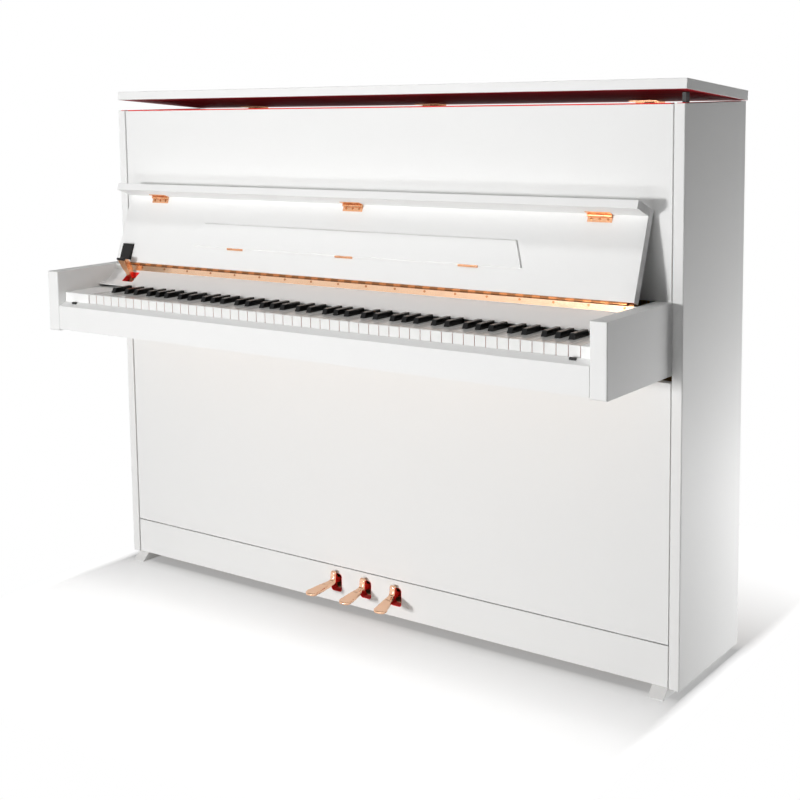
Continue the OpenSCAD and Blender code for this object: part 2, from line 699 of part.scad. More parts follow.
// ---------------------------------------------------------------- pedals
// side view of a pedal: toe, hump and tail, drawn in (y, z)
module pedal_side() {
  polygon([[-84, 56.5], [-82.5, 54], [-78, 53], [-69, 53.5], [-50, 55.2], [-30, 58.2], [-13, 60.8],
    [0, 61.5], [24, 61], [40, 59.5], [60, 59], [112, 64], [126, 65], [126, tail_top], [60, 74],
    [24, 73.5], [8, 74.5], [2, 77], [-1, 81], [-2.3, 86], [-4.5, 90], [-7.5, 91.2], [-10.5, 90],
    [-12.3, 86], [-13, 80], [-14, 74.5], [-16, 71.3], [-21, 69.3], [-40, 66.5], [-60, 62.6],
    [-72, 60.8], [-80, 59.8], [-83, 58.6]]);
}
module pedal(k) {
  splay = k * 11.5;                      // the outer toes lean outwards
  r = toe_width / 2;
  place() translate([pedal_x(k), 0, 0]) difference() {
    intersection() {
      along_x(-60, 60) pedal_side();
      linear_extrude(120) {
        polygon([[-6, 128], [6, 128], [6, -14], [splay * 0.35 + 0.64 * r, -32],
          [splay * 0.85 + r - 1.3, -60], [splay + r - 2, -72], [splay - r + 2, -72],
          [splay * 0.85 - r + 1.3, -60], [splay * 0.35 - 0.64 * r, -32], [-6, -14]]);
        translate([splay, -69.5]) circle(r);
      }
    }
    rod_x(-10, 10, pedal_axis[0], pedal_axis[1], 4 + run_fit);
  }
}
module pedal_left() { color("peru") pedal(-1); }
module pedal_middle() { color("peru") pedal(0); }
module pedal_right() { color("peru") pedal(1); }
module pedal_brackets() {
  color("dimgray") place() for (k = [-1, 0, 1]) {
    x = pedal_x(k);
    for (s = [-1, 1]) along_x(x + s * 9.5 - 3, x + s * 9.5 + 3) {
      translate(pedal_axis) circle(8);
      translate([pedal_axis[0] - 8, 44]) square([16, pedal_axis[1] - 44]);
    }
    rod_x(x - 7, x + 7, pedal_axis[0], pedal_axis[1], 4);
  }
}
module rod(k, top) {
  color("burlywood") place() translate([pedal_x(k), rod_y, tail_top + clear + rod_r]) {
    sphere(rod_r);
    cylinder(r = rod_r, h = top - tail_top - clear - rod_r);
  }
}
module rod_left() { rod(-1, 745); }
module rod_middle() { rod(0, 745); }
module rod_right() { rod(1, 745); }

side_left();
side_right();
arm_left();
arm_right();
key_blocks();
keybed();
keyslip();
keyslip_bumpers();
bottom_rail();
lower_panel();
upper_panel();
nameboard();
bottom_board();
feet();
back_frame();
soundboard();
bridges_and_ribs();
iron_plate();
pin_block();
tuning_pins();
strings();
action_frame();
key_frame();
red_felts();
case_hinge_leaves();
case_screws();
pedal_brackets();
soft_close_damper();
top_lid();
lid_hinge_leaves();
lid_prop();
fallboard();
fallboard_hinge_leaves();
soft_close_pad();
fallboard_lip();
lip_hinge_leaves();
music_desk();
desk_hinge_leaves();
soft_close_arm();
pedal_left();
pedal_middle();
pedal_right();
rod_left();
rod_middle();
rod_right();
hammer_row();
muffler_rail();
damper_row();
white_keys();
black_keys();
key_c4();
key_c_sharp4();
key_d4();
key_d_sharp4();
key_e4();
key_f4();
key_f_sharp4();
key_g4();
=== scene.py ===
import json
import math

import bpy
from mathutils import Matrix, Vector


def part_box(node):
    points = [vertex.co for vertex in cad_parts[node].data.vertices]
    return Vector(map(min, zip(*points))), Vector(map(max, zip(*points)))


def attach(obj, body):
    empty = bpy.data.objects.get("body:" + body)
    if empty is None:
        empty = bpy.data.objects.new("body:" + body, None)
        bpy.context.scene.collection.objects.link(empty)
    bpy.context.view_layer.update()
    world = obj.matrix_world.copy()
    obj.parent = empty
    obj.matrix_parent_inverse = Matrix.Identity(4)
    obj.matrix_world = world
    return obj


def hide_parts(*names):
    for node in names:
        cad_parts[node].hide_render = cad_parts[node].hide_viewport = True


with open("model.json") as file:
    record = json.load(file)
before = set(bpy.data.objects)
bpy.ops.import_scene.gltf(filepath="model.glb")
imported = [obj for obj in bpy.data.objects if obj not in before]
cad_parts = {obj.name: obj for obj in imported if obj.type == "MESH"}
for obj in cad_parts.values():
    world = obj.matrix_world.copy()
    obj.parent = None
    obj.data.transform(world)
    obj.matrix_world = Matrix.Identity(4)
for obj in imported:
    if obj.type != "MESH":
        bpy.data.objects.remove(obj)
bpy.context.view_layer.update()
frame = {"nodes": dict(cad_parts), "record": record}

bl_info = {
    "name": "White Upright Piano",
    "version": (1, 0, 0),
    "blender": (4, 5, 0),
    "location": "3D View > Sidebar > Piano",
    "description": "Dresses a white upright piano: lacquer, keys, copper fittings, felt and studio",
    "category": "Object",
}

JOINTS = {j["name"]: j for j in frame["record"]["behaviour"]["joints"]}
BODY_OF = {node: body for body, nodes in frame["record"]["behaviour"]["bodies"].items() for node in nodes}

MM = 0.001
BOARD_LEAN = math.radians(20.6)    # how far the open fallboard leans back
# KNUCKLE_REACH bounds the painted shade on the long hinge's knuckles.
KNUCKLE_REACH = 3.6 * MM           # from the long hinge's axis, a little past its knuckles
BARE_KEY_WOOD = 20 * MM            # height of the bare wood on a white key's sides
HAMMER_WOOL_FROM = 910.5 * MM      # height at which a hammer's wooden head ends and its wool starts
BUMPER_WIDTH = 13 * MM


# ------------------------------------------------------------------ sizes and colours
class PianoFinish(bpy.types.PropertyGroup):
    lacquer: bpy.props.FloatVectorProperty(
        name="Lacquer", description="Colour of the polished case lacquer", subtype="COLOR",
        size=3, min=0, max=1, default=(0.86, 0.86, 0.845))
    key_cover: bpy.props.FloatVectorProperty(
        name="Key covering", description="Colour of the white keys", subtype="COLOR",
        size=3, min=0, max=1, default=(0.88, 0.88, 0.865))
    ebony: bpy.props.FloatVectorProperty(
        name="Black keys", description="Colour of the black keys", subtype="COLOR",
        size=3, min=0, max=1, default=(0.008, 0.008, 0.008))
    pedal: bpy.props.FloatVectorProperty(
        name="Pedals", description="Rose gold plating of the pedals", subtype="COLOR",
        size=3, min=0, max=1, default=(0.88, 0.56, 0.38))
    copper: bpy.props.FloatVectorProperty(
        name="Copper", description="Colour of the hinges", subtype="COLOR",
        size=3, min=0, max=1, default=(0.86, 0.47, 0.27))
    felt: bpy.props.FloatVectorProperty(
        name="Felt", description="Colour of the felt strips and linings", subtype="COLOR",
        size=3, min=0, max=1, default=(0.88, 0.012, 0.010))
    lid_underside: bpy.props.FloatVectorProperty(
        name="Lid underside", description="Colour under the top lid", subtype="COLOR",
        size=3, min=0, max=1, default=(0.62, 0.020, 0.035))
    key_wood: bpy.props.FloatVectorProperty(
        name="Key sides", description="Colour of the white keys' wooden sides", subtype="COLOR",
        size=3, min=0, max=1, default=(0.72, 0.46, 0.43))
    bare_wood: bpy.props.FloatVectorProperty(
        name="Bare wood", description="Colour of posts, keybed and rails", subtype="COLOR",
        size=3, min=0, max=1, default=(0.50, 0.33, 0.18))
    spruce: bpy.props.FloatVectorProperty(
        name="Spruce", description="Colour of the soundboard", subtype="COLOR",
        size=3, min=0, max=1, default=(0.66, 0.45, 0.22))


class PianoParts(bpy.types.PropertyGroup):
    case_edge: bpy.props.FloatProperty(
        name="Case edge", description="Rounding of the lacquered edges", subtype="DISTANCE",
        unit="LENGTH", min=0.0003, max=0.003, default=0.0012)
    key_edge: bpy.props.FloatProperty(
        name="Key edge", description="Rounding of the keys' edges", subtype="DISTANCE",
        unit="LENGTH", min=0.0002, max=0.001, default=0.0005)
    pedal_grain: bpy.props.FloatProperty(
        name="Pedal grain", description="Step of the mesh the cast pedals are rounded on", subtype="DISTANCE",
        unit="LENGTH", min=0.0008, max=0.003, default=0.0013)
    screw_radius: bpy.props.FloatProperty(
        name="Screw radius", description="Radius of a hinge screw's head", subtype="DISTANCE",
        unit="LENGTH", min=0.0015, max=0.003, default=0.0024)


class PianoStudio(bpy.types.PropertyGroup):
    main_power: bpy.props.FloatProperty(
        name="Main lamp", description="Power of the soft lamp in front",
        min=0, max=2000, default=192)
    keyboard_power: bpy.props.FloatProperty(
        name="Keyboard lamp", description="Power of the long lamp above the keys",
        min=0, max=500, default=8)
    fill_power: bpy.props.FloatProperty(
        name="Low lamp", description="Power of the long lamp low in front",
        min=0, max=500, default=9)
    side_power: bpy.props.FloatProperty(
        name="Side lamp", description="Power of the low lamp beside the treble end",
        min=0, max=500, default=9)
    # The floor's glow, weak beside the plinth and strong further off, paints shade round the piano.
    floor_near: bpy.props.FloatProperty(
        name="Floor at the plinth", description="Brightness added to the seen floor beside the piano",
        min=0, max=1, default=0.28)
    floor_far: bpy.props.FloatProperty(
        name="Floor further off", description="Brightness added where the floor's shading ends",
        min=0, max=1, default=0.95)
    floor_reach: bpy.props.FloatProperty(
        name="Floor shading", description="How far the floor's shading reaches in front and behind",
        subtype="DISTANCE", unit="LENGTH", min=0.1, max=2, default=0.5)
    floor_ends: bpy.props.FloatProperty(
        name="Floor at the ends", description="How many times sooner the shading stops past the two ends",
        min=1, max=30, default=16)
    ambient: bpy.props.FloatProperty(
        name="Room light", description="Level of the even light of the room", min=0, max=2, default=0.03)
    lens: bpy.props.FloatProperty(
        name="Lens", description="Focal length of the camera", min=20, max=200, default=62.12,
        subtype="DISTANCE_CAMERA", unit="CAMERA")


# ------------------------------------------------------------------ node helpers
def clear_selection():
    if bpy.context.object and bpy.context.object.mode != "OBJECT":
        bpy.ops.object.mode_set(mode="OBJECT")
    bpy.ops.object.select_all(action="DESELECT")


def add_node(tree, kind, **values):
    node = tree.nodes.new(kind)
    for key, value in values.items():
        if hasattr(node, key):
            setattr(node, key, value)
        else:
            raise RuntimeError("node %s has no %s" % (kind, key))
    return node


def link(tree, source, target):
    tree.links.new(source, target)


def new_group(name, inputs, outputs):
    """A shader node group with named float, colour and vector sockets."""
    group = bpy.data.node_groups.new(name, "ShaderNodeTree")
    kinds = {"c": "NodeSocketColor", "f": "NodeSocketFloat", "v": "NodeSocketVector"}
    for label, kind, value in inputs:
        socket = group.interface.new_socket(name=label, in_out="INPUT", socket_type=kinds[kind])
        if value is not None:
            socket.default_value = value
    for label, kind in outputs:
        group.interface.new_socket(name=label, in_out="OUTPUT", socket_type=kinds[kind])
    return group, group.nodes.new("NodeGroupInput"), group.nodes.new("NodeGroupOutput")


def lacquer_ripple_group():
    """The faint waviness and tone drift of a sprayed and polished surface."""
    g, gin, gout = new_group("Lacquer Ripple", [
        ("Colour", "c", (1, 1, 1, 1)), ("Tone", "f", 0.03), ("Ripple", "f", 0.02),
        ("Size", "f", 30.0)], [("Colour", "c"), ("Roughness", "f"), ("Normal", "v")])
    co = add_node(g, "ShaderNodeTexCoord")
    drift = add_node(g, "ShaderNodeTexNoise")
    drift.inputs["Scale"].default_value = 2.2
    drift.inputs["Detail"].default_value = 3
    link(g, co.outputs["Object"], drift.inputs["Vector"])
    dark = add_node(g, "ShaderNodeMapRange")
    link(g, drift.outputs["Fac"], dark.inputs["Value"])
    dark.inputs["From Min"].default_value = 0.3
    dark.inputs["From Max"].default_value = 0.7
    one = add_node(g, "ShaderNodeMath", operation="SUBTRACT")
    one.inputs[0].default_value = 1
    link(g, gin.outputs["Tone"], one.inputs[1])
    link(g, one.outputs[0], dark.inputs["To Min"])
    tint = add_node(g, "ShaderNodeVectorMath", operation="SCALE")
    link(g, gin.outputs["Colour"], tint.inputs[0])
    link(g, dark.outputs[0], tint.inputs["Scale"])
    link(g, tint.outputs[0], gout.inputs["Colour"])
    fine = add_node(g, "ShaderNodeTexNoise")
    link(g, co.outputs["Object"], fine.inputs["Vector"])
    link(g, gin.outputs["Size"], fine.inputs["Scale"])
    fine.inputs["Detail"].default_value = 2
    bump = add_node(g, "ShaderNodeBump")
    bump.inputs["Distance"].default_value = 0.0004
    link(g, gin.outputs["Ripple"], bump.inputs["Strength"])
    link(g, fine.outputs["Fac"], bump.inputs["Height"])
    link(g, bump.outputs[0], gout.inputs["Normal"])
    haze = add_node(g, "ShaderNodeTexNoise")
    haze.inputs["Scale"].default_value = 9
    haze.inputs["Detail"].default_value = 4
    link(g, co.outputs["Object"], haze.inputs["Vector"])
    rough = add_node(g, "ShaderNodeMapRange")
    rough.inputs["To Min"].default_value = 0.14
    rough.inputs["To Max"].default_value = 0.24
    link(g, haze.outputs["Fac"], rough.inputs["Value"])
    link(g, rough.outputs[0], gout.inputs["Roughness"])
    return g


def wood_grain_group():
    """Straight grain with darker late wood, drawn out along one direction."""
    g, gin, gout = new_group("Wood Grain", [
        ("Light", "c", (1, 1, 1, 1)), ("Dark", "c", (0, 0, 0, 1)), ("Along", "v", (1, 30, 30)),
        ("Rings", "f", 4.0), ("Relief", "f", 0.15)], [("Colour", "c"), ("Roughness", "f"), ("Normal", "v")])
    co = add_node(g, "ShaderNodeTexCoord")
    stretch = add_node(g, "ShaderNodeVectorMath", operation="MULTIPLY")
    link(g, co.outputs["Object"], stretch.inputs[0])
    link(g, gin.outputs["Along"], stretch.inputs[1])
    rings = add_node(g, "ShaderNodeTexNoise")
    link(g, stretch.outputs[0], rings.inputs["Vector"])
    link(g, gin.outputs["Rings"], rings.inputs["Scale"])
    rings.inputs["Detail"].default_value = 5
    rings.inputs["Distortion"].default_value = 0.35
    ramp = add_node(g, "ShaderNodeMapRange")
    ramp.inputs["From Min"].default_value = 0.32
    ramp.inputs["From Max"].default_value = 0.66
    link(g, rings.outputs["Fac"], ramp.inputs["Value"])
    mix = add_node(g, "ShaderNodeMix", data_type="RGBA")
    link(g, ramp.outputs[0], mix.inputs["Factor"])
    link(g, gin.outputs["Light"], mix.inputs["A"])
    link(g, gin.outputs["Dark"], mix.inputs["B"])
    link(g, mix.outputs["Result"], gout.inputs["Colour"])
    rough = add_node(g, "ShaderNodeMapRange")
    rough.inputs["To Min"].default_value = 0.45
    rough.inputs["To Max"].default_value = 0.65
    link(g, rings.outputs["Fac"], rough.inputs["Value"])
    link(g, rough.outputs[0], gout.inputs["Roughness"])
    bump = add_node(g, "ShaderNodeBump")
    bump.inputs["Distance"].default_value = 0.0005
    link(g, gin.outputs["Relief"], bump.inputs["Strength"])
    link(g, ramp.outputs[0], bump.inputs["Height"])
    link(g, bump.outputs[0], gout.inputs["Normal"])
    return g


def brushed_metal_group():
    """Fine polishing lines with a little tarnish."""
    g, gin, gout = new_group("Polishing Lines", [
        ("Colour", "c", (1, 1, 1, 1)), ("Tarnish", "c", (0.4, 0.4, 0.4, 1)), ("Along", "v", (40, 900, 900)),
        ("Smooth", "f", 0.18), ("Rough", "f", 0.36)], [("Colour", "c"), ("Roughness", "f"), ("Normal", "v")])
    co = add_node(g, "ShaderNodeTexCoord")
    stretch = add_node(g, "ShaderNodeVectorMath", operation="MULTIPLY")
    link(g, co.outputs["Object"], stretch.inputs[0])
    link(g, gin.outputs["Along"], stretch.inputs[1])
    lines = add_node(g, "ShaderNodeTexNoise")
    lines.inputs["Scale"].default_value = 1
    lines.inputs["Detail"].default_value = 3
    link(g, stretch.outputs[0], lines.inputs["Vector"])
    rough = add_node(g, "ShaderNodeMapRange")
    link(g, lines.outputs["Fac"], rough.inputs["Value"])
    link(g, gin.outputs["Smooth"], rough.inputs["To Min"])
    link(g, gin.outputs["Rough"], rough.inputs["To Max"])
    link(g, rough.outputs[0], gout.inputs["Roughness"])
    cloud = add_node(g, "ShaderNodeTexNoise")
    cloud.inputs["Scale"].default_value = 22
    cloud.inputs["Detail"].default_value = 4
    link(g, co.outputs["Object"], cloud.inputs["Vector"])
    amount = add_node(g, "ShaderNodeMapRange")
    amount.inputs["From Min"].default_value = 0.5
    amount.inputs["From Max"].default_value = 0.8
    amount.inputs["To Max"].default_value = 0.35
    link(g, cloud.outputs["Fac"], amount.inputs["Value"])
    mix = add_node(g, "ShaderNodeMix", data_type="RGBA")
    link(g, amount.outputs[0], mix.inputs["Factor"])
    link(g, gin.outputs["Colour"], mix.inputs["A"])
    link(g, gin.outputs["Tarnish"], mix.inputs["B"])
    link(g, mix.outputs["Result"], gout.inputs["Colour"])
    bump = add_node(g, "ShaderNodeBump")
    bump.inputs["Distance"].default_value = 0.0001
    bump.inputs["Strength"].default_value = 0.12
    link(g, lines.outputs["Fac"], bump.inputs["Height"])
    link(g, bump.outputs[0], gout.inputs["Normal"])
    return g


def felt_fibre_group():
    """Pressed wool: short matted fibres with lighter tips."""
    g, gin, gout = new_group("Felt Fibre", [
        ("Colour", "c", (1, 1, 1, 1)), ("Size", "f", 700.0), ("Relief", "f", 0.5)],
        [("Colour", "c"), ("Normal", "v")])
    co = add_node(g, "ShaderNodeTexCoord")
    wool = add_node(g, "ShaderNodeTexNoise")
    link(g, co.outputs["Object"], wool.inputs["Vector"])
    link(g, gin.outputs["Size"], wool.inputs["Scale"])
    wool.inputs["Detail"].default_value = 5
    wool.inputs["Distortion"].default_value = 1.2
    level = add_node(g, "ShaderNodeMapRange")
    level.inputs["To Min"].default_value = 0.7
    level.inputs["To Max"].default_value = 1.25
    link(g, wool.outputs["Fac"], level.inputs["Value"])
    tint = add_node(g, "ShaderNodeVectorMath", operation="SCALE")
    link(g, gin.outputs["Colour"], tint.inputs[0])
    link(g, level.outputs[0], tint.inputs["Scale"])
    link(g, tint.outputs[0], gout.inputs["Colour"])
    bump = add_node(g, "ShaderNodeBump")
    bump.inputs["Distance"].default_value = 0.0006
    link(g, gin.outputs["Relief"], bump.inputs["Strength"])
    link(g, wool.outputs["Fac"], bump.inputs["Height"])
    link(g, bump.outputs[0], gout.inputs["Normal"])
    return g


def group_named(name):
    makers = {"Lacquer Ripple": lacquer_ripple_group, "Wood Grain": wood_grain_group,
              "Polishing Lines": brushed_metal_group, "Felt Fibre": felt_fibre_group}
    return bpy.data.node_groups.get(name) or makers[name]()


def new_material(name, viewport=(0.8, 0.8, 0.8)):
    mat = bpy.data.materials.new(name)
    mat.use_nodes = True
    mat.diffuse_color = (*viewport, 1)
    tree = mat.node_tree
    return mat, tree, tree.nodes["Principled BSDF"]


def place_group(tree, shader, name, colour=True, roughness=True, **values):
    """Puts an effect group into a material and wires it to the shader."""
    node = tree.nodes.new("ShaderNodeGroup")
    node.node_tree = group_named(name)
    for key, value in values.items():
        node.inputs[key].default_value = value
    if colour:
        link(tree, node.outputs["Colour"], shader.inputs["Base Color"])
    if roughness and "Roughness" in node.outputs:
        link(tree, node.outputs["Roughness"], shader.inputs["Roughness"])
    link(tree, node.outputs["Normal"], shader.inputs["Normal"])
    return node


def rgba(colour):
    return (colour[0], colour[1], colour[2], 1)


def shade(colour, share):
    """The same colour, darker."""
    return [c * share for c in colour]


def lacquer_material(name, colour, tone=0.02, coat=0.12, gloss=0.35):
    mat, tree, shader = new_material(name, colour)
    place_group(tree, shader, "Lacquer Ripple", Colour=rgba(colour), Tone=tone, Ripple=0.05, Size=14.0)
    shader.inputs["Specular IOR Level"].default_value = gloss
    shader.inputs["Coat Weight"].default_value = coat
    shader.inputs["Coat Roughness"].default_value = 0.03
    return mat


def hinge_copper_material(name, colour, deep):
    """Copper plate with painted shade: a deeper copper on the knuckles round the long hinge's axis."""
    mat, tree, shader = new_material(name, colour)
    shader.inputs["Metallic"].default_value = 1
    lines = place_group(tree, shader, "Polishing Lines", colour=False, Colour=rgba(colour),
                        Tarnish=rgba(shade(colour, 0.8)), Along=(40, 900, 900), Smooth=0.12, Rough=0.24)
    axis = JOINTS["fallboard_turn"]["pos_m"]
    co = add_node(tree, "ShaderNodeTexCoord")
    apart = add_node(tree, "ShaderNodeVectorMath", operation="SUBTRACT")
    apart.inputs[1].default_value = axis
    link(tree, co.outputs["Object"], apart.inputs[0])
    flat = add_node(tree, "ShaderNodeVectorMath", operation="MULTIPLY")
    flat.inputs[1].default_value = (0, 1, 1)
    link(tree, apart.outputs[0], flat.inputs[0])
    away = add_node(tree, "ShaderNodeVectorMath", operation="LENGTH")
    link(tree, flat.outputs[0], away.inputs[0])
    near = add_node(tree, "ShaderNodeMath", operation="LESS_THAN")
    near.inputs[1].default_value = KNUCKLE_REACH
    link(tree, away.outputs["Value"], near.inputs[0])
    # Painted shade: the knuckles take the deeper copper.
    mix = add_node(tree, "ShaderNodeMix", data_type="RGBA")
    link(tree, near.outputs[0], mix.inputs["Factor"])
    link(tree, lines.outputs["Colour"], mix.inputs["A"])
    mix.inputs["B"].default_value = rgba(deep)
    link(tree, mix.outputs["Result"], shader.inputs["Base Color"])
    return mat


def white_key_material(cover, wood):
    """Gloss covering on the top and front, bare wood on the key's sides below it."""
    mat, tree, shader = new_material("key_white_cover", cover)
    gloss = place_group(tree, shader, "Lacquer Ripple", colour=False, Colour=rgba(cover), Tone=0.03,
                        Ripple=0.05, Size=14.0)
    co = add_node(tree, "ShaderNodeTexCoord")
    facing = add_node(tree, "ShaderNodeSeparateXYZ")
    link(tree, co.outputs["Normal"], facing.inputs[0])
    sideways = add_node(tree, "ShaderNodeMath", operation="ABSOLUTE")
    link(tree, facing.outputs["X"], sideways.inputs[0])
    on_side = add_node(tree, "ShaderNodeMath", operation="GREATER_THAN")
    on_side.inputs[1].default_value = 0.8
    link(tree, sideways.outputs[0], on_side.inputs[0])
    place = add_node(tree, "ShaderNodeSeparateXYZ")
    link(tree, co.outputs["Object"], place.inputs[0])
    below = add_node(tree, "ShaderNodeMath", operation="LESS_THAN")
    below.inputs[1].default_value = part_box("key_c4")[0].z + BARE_KEY_WOOD
    link(tree, place.outputs["Z"], below.inputs[0])
    bare = add_node(tree, "ShaderNodeMath", operation="MULTIPLY")
    link(tree, on_side.outputs[0], bare.inputs[0])
    link(tree, below.outputs[0], bare.inputs[1])
    mix = add_node(tree, "ShaderNodeMix", data_type="RGBA")
    link(tree, bare.outputs[0], mix.inputs["Factor"])
    link(tree, gloss.outputs["Colour"], mix.inputs["A"])
    mix.inputs["B"].default_value = rgba(wood)
    link(tree, mix.outputs["Result"], shader.inputs["Base Color"])
    shader.inputs["Coat Weight"].default_value = 0.3
    shader.inputs["Coat Roughness"].default_value = 0.03
    return mat


def lid_underside_material(colour):
    """Dark red stain under the lid, closed grain and a low sheen."""
    mat, tree, shader = new_material("lid_underside", colour)
    place_group(tree, shader, "Wood Grain", Light=rgba(colour), Dark=rgba(shade(colour, 0.6)),
                Along=(2, 40, 40), Relief=0.05)
    shader.inputs["Specular IOR Level"].default_value = 0.12
    return mat


def metal_material(name, colour, tarnish, along=(40, 900, 900), smooth=0.16, rough=0.34):
    mat, tree, shader = new_material(name, colour)
    shader.inputs["Metallic"].default_value = 1
    place_group(tree, shader, "Polishing Lines", Colour=rgba(colour), Tarnish=rgba(tarnish),
                Along=along, Smooth=smooth, Rough=rough)
    return mat


def wood_material(name, light, dark, along, rings=4.0, coat=0.0):
    mat, tree, shader = new_material(name, light)
    place_group(tree, shader, "Wood Grain", Light=rgba(light), Dark=rgba(dark), Along=along, Rings=rings)
    shader.inputs["Coat Weight"].default_value = coat
    shader.inputs["Coat Roughness"].default_value = 0.15
    return mat


def felt_material(name, colour, size=700.0):
    mat, tree, shader = new_material(name, colour)
    place_group(tree, shader, "Felt Fibre", Colour=rgba(colour), Size=size, Relief=0.6)
    shader.inputs["Roughness"].default_value = 0.92
    shader.inputs["Sheen Weight"].default_value = 0.1
    shader.inputs["Sheen Roughness"].default_value = 0.5
    return mat


def hammer_material(wood, felt):
    """Turned wood below, white wool at the striking heads."""
    mat, tree, shader = new_material("hammer_wood_and_felt", wood)
    node = place_group(tree, shader, "Wood Grain", colour=False, Light=rgba(wood),
                       Dark=rgba(shade(wood, 0.6)), Along=(30, 30, 3))
    wool = tree.nodes.new("ShaderNodeGroup")
    wool.node_tree = group_named("Felt Fibre")
    wool.inputs["Colour"].default_value = rgba(felt)
    wool.inputs["Size"].default_value = 500
    co = add_node(tree, "ShaderNodeTexCoord")
    split = add_node(tree, "ShaderNodeSeparateXYZ")
    link(tree, co.outputs["Object"], split.inputs[0])
    head = add_node(tree, "ShaderNodeMath", operation="GREATER_THAN")
    head.inputs[1].default_value = HAMMER_WOOL_FROM
    link(tree, split.outputs["Z"], head.inputs[0])
    mix = add_node(tree, "ShaderNodeMix", data_type="RGBA")
    link(tree, head.outputs[0], mix.inputs["Factor"])
    link(tree, node.outputs["Colour"], mix.inputs["A"])
    link(tree, wool.outputs["Colour"], mix.inputs["B"])
    link(tree, mix.outputs["Result"], shader.inputs["Base Color"])
    return mat


def plate_material():
    """Bronze paint over a sand-cast surface."""
    bronze = (0.45, 0.30, 0.12)
    mat, tree, shader = new_material("bronze_painted_iron", bronze)
    shader.inputs["Metallic"].default_value = 0.6
    place_group(tree, shader, "Felt Fibre", Colour=rgba(bronze), Size=260.0, Relief=0.25)
    shader.inputs["Roughness"].default_value = 0.42
    return mat


def black_material(name, rough, tone=0.3):
    mat, tree, shader = new_material(name, (0.02, 0.02, 0.02))
    place_group(tree, shader, "Lacquer Ripple", roughness=False, Colour=(0.014, 0.013, 0.013, 1), Tone=tone,
                Ripple=0.4, Size=600.0)
    shader.inputs["Roughness"].default_value = rough
    shader.inputs["Specular IOR Level"].default_value = 0.2
    return mat


def paint(nodes, mat):
    """Gives construction pieces a material of their own."""
    for name in nodes:
        mesh = frame["nodes"][name].data
        mesh.materials.clear()
        mesh.materials.append(mat)


# ------------------------------------------------------------------ operators: finishes
class PIANO_OT_case_finish(bpy.types.Operator):
    """White lacquer on the case, the fallboard, its lip, the music desk and the lid, and the red material for
    under the lid
    """
    bl_idname = "piano.case_finish"
    bl_label = "Case Lacquer"

    def execute(self, context):
        finish = context.scene.piano_finish
        white = lacquer_material("white_lacquer", finish.lacquer)
        paint(["side_left", "side_right", "arm_left", "arm_right", "key_blocks", "keyslip", "bottom_rail",
               "lower_panel", "upper_panel", "nameboard", "feet", "fallboard", "fallboard_lip",
               "music_desk", "top_lid"], white)
        lid_underside_material(finish.lid_underside)
        return {"FINISHED"}


def single_keys():
    """The keys that each have a joint of their own."""
    others = ("key_blocks", "key_frame")
    return [node for node in frame["nodes"] if node.startswith("key_") and node not in others]


class PIANO_OT_key_finish(bpy.types.Operator):
    """Gloss covering on the white and the black keys"""
    bl_idname = "piano.key_finish"
    bl_label = "Keys"

    def execute(self, context):
        finish = context.scene.piano_finish
        white = white_key_material(finish.key_cover, finish.key_wood)
        black = lacquer_material("key_black_gloss", finish.ebony, tone=0.2, coat=0, gloss=0.2)
        paint(["white_keys"] + [node for node in single_keys() if "sharp" not in node], white)
        paint(["black_keys"] + [node for node in single_keys() if "sharp" in node], black)
        return {"FINISHED"}


class PIANO_OT_metal_finish(bpy.types.Operator):
    """Copper plating on hinges and pedals, steel on pins and strings, bronze paint on the plate"""
    bl_idname = "piano.metal_finish"
    bl_label = "Metal"

    def execute(self, context):
        copper = context.scene.piano_finish.copper
        rose = context.scene.piano_finish.pedal
        # deep gives the long hinge's knuckles their painted shade; it is also the lip hinge's tarnish and the
        # screws' copper.
        deep = (copper[0] * 0.62, copper[1] * 0.45, copper[2] * 0.3)
        # pale is a paler copy of the copper for the case's leaf: painted reflection.
        pale = (0.84, 0.55, 0.37)
        steel, steel_tarnish = (0.55, 0.55, 0.56), (0.33, 0.31, 0.29)
        alloy, alloy_tarnish = (0.52, 0.52, 0.53), (0.36, 0.36, 0.36)
        paint(["lid_hinge_leaves", "desk_hinge_leaves", "soft_close_arm"],
              metal_material("copper_plate", copper, shade(copper, 0.62)))
        # The case's leaf: paler copper as painted reflection, its knuckles darker still as painted shade.
        paint(["case_hinge_leaves"], hinge_copper_material("hinge_copper_case", pale, shade(deep, 0.55)))
        paint(["fallboard_hinge_leaves"], hinge_copper_material("hinge_copper_board", copper, deep))
        paint(["lip_hinge_leaves"], metal_material("copper_deep", (0.80, 0.42, 0.22), deep))
        paint(["case_screws"],
              metal_material("screw_copper", deep, shade(deep, 0.5), along=(300, 300, 300)))
        paint(["pedal_left", "pedal_middle", "pedal_right"],
              metal_material("pedal_copper", rose, shade(rose, 0.9), along=(60, 60, 60),
                             smooth=0.05, rough=0.12))
        paint(["tuning_pins", "strings"],
              metal_material("bright_steel", steel, steel_tarnish, along=(900, 900, 40)))
        paint(["action_frame", "muffler_rail", "pedal_brackets"],
              metal_material("cast_aluminium", alloy, alloy_tarnish, along=(300, 300, 300),
                             smooth=0.35, rough=0.55))
        paint(["iron_plate"], plate_material())
        return {"FINISHED"}


